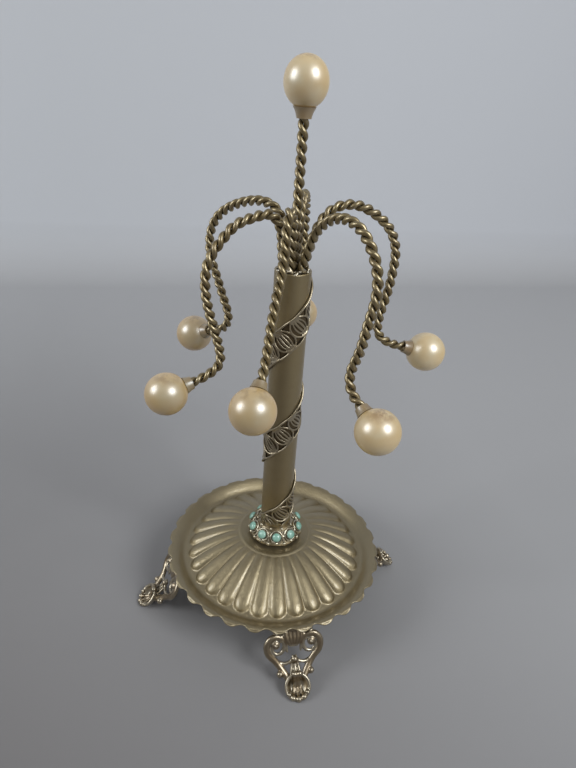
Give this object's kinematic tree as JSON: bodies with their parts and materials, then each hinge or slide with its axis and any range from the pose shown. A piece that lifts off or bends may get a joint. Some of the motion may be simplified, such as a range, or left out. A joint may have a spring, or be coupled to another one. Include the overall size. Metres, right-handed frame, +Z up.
{
  "type": "jewelry holder",
  "caption": "Upright jewelry holder: a fluted footed dish carries a filigree-wound tube from which twisted wires arch out to pearl beads, with one oval bead on top.",
  "frame": {"origin": "on the resting surface, on the upright tube's axis", "axes": "+Z up along the tube, -Y towards the front, +X to the right as seen from the front"},
  "size_m": [0.1279, 0.1273, 0.231],
  "materials": {
    "plated_metal": "aged warm silver plate, satin, darker in the hollows",
    "steel": "plain turned",
    "pearl": "cream pearl gloss",
    "turquoise_stone": "pale green polished stone"
  },
  "bodies": {
    "root": {"base_dish": "plated_metal", "foot_front": "plated_metal", "foot_right": "plated_metal", "foot_back": "plated_metal", "foot_left": "plated_metal", "post_tube": "plated_metal", "post_plug": "plated_metal", "base_washer": "steel", "base_screw": "steel", "stone_collar": "plated_metal", "stone_01": "turquoise_stone", "stone_02": "turquoise_stone", "stone_03": "turquoise_stone", "stone_04": "turquoise_stone", "stone_05": "turquoise_stone", "stone_06": "turquoise_stone", "stone_07": "turquoise_stone", "stone_08": "turquoise_stone", "stone_09": "turquoise_stone", "stone_10": "turquoise_stone", "filigree_band": "plated_metal", "wire_centre_a": "plated_metal", "wire_centre_b": "plated_metal", "bead_centre": "pearl", "cap_centre": "pearl", "wire_front_a": "plated_metal", "wire_front_b": "plated_metal", "bead_front": "pearl", "cap_front": "pearl", "wire_front_right_a": "plated_metal", "wire_front_right_b": "plated_metal", "bead_front_right": "pearl", "cap_front_right": "pearl", "wire_back_right_a": "plated_metal", "wire_back_right_b": "plated_metal", "bead_back_right": "pearl", "cap_back_right": "pearl", "wire_back_a": "plated_metal", "wire_back_b": "plated_metal", "bead_back": "pearl", "cap_back": "pearl", "wire_back_left_a": "plated_metal", "wire_back_left_b": "plated_metal", "bead_back_left": "pearl", "cap_back_left": "pearl", "wire_front_left_a": "plated_metal", "wire_front_left_b": "plated_metal", "bead_front_left": "pearl", "cap_front_left": "pearl"}
  },
  "joints": []
}
